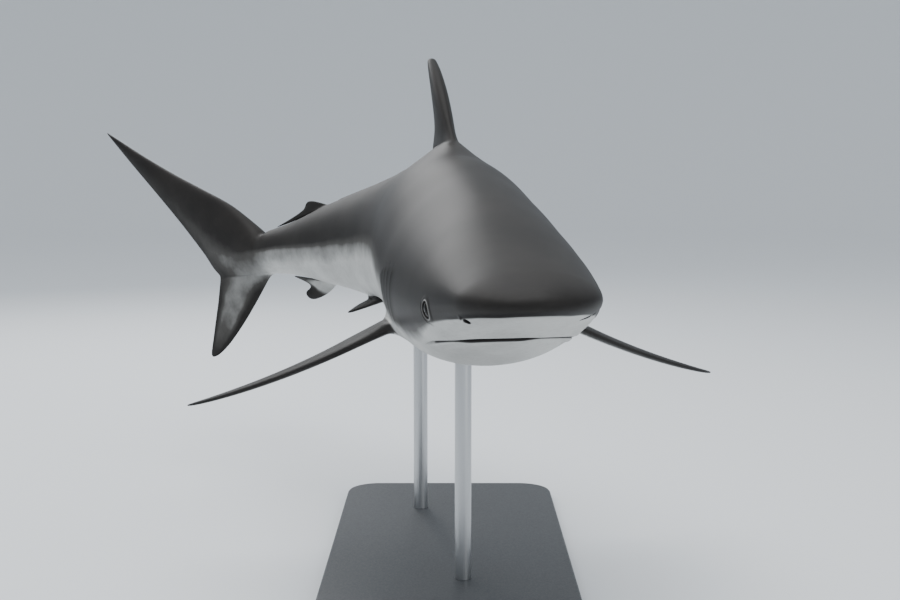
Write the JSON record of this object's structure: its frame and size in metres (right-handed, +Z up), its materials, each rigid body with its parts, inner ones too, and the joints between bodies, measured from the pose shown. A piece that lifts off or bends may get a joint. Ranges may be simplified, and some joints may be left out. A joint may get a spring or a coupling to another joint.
{
  "type": "silky shark on a display stand",
  "caption": "Life-size silky shark in a turning swim, fins spread, held by a plain flat base and short rods.",
  "frame": {"origin": "middle of the underside of the stand's base, on the floor", "axes": "+Z up; the shark faces -Y with its left to +X, and its tail runs to +Y and bends to -X"},
  "size_m": [1.2685, 1.787, 0.8475],
  "materials": {
    "skin": "moist satin hide, dark brown-grey above shading to pale below",
    "eye": "wet gloss",
    "stand_paint": "satin powder coat",
    "stand_steel": "brushed"
  },
  "bodies": {
    "root": {"head": "skin", "lower_jaw": "skin", "gill_region": "skin", "trunk_front": "skin", "trunk_rear": "skin", "tail_stock": "skin", "caudal_fin_upper_lobe": "skin", "caudal_fin_lower_lobe": "skin", "first_dorsal_fin": "skin", "second_dorsal_fin": "skin", "anal_fin": "skin", "pectoral_fin_left": "skin", "pectoral_fin_right": "skin", "pelvic_fin_left": "skin", "pelvic_fin_right": "skin", "eye_left": "eye", "eye_right": "eye", "stand_base": "stand_paint", "stand_rod_front": "stand_steel", "stand_rod_rear": "stand_steel"}
  },
  "joints": []
}
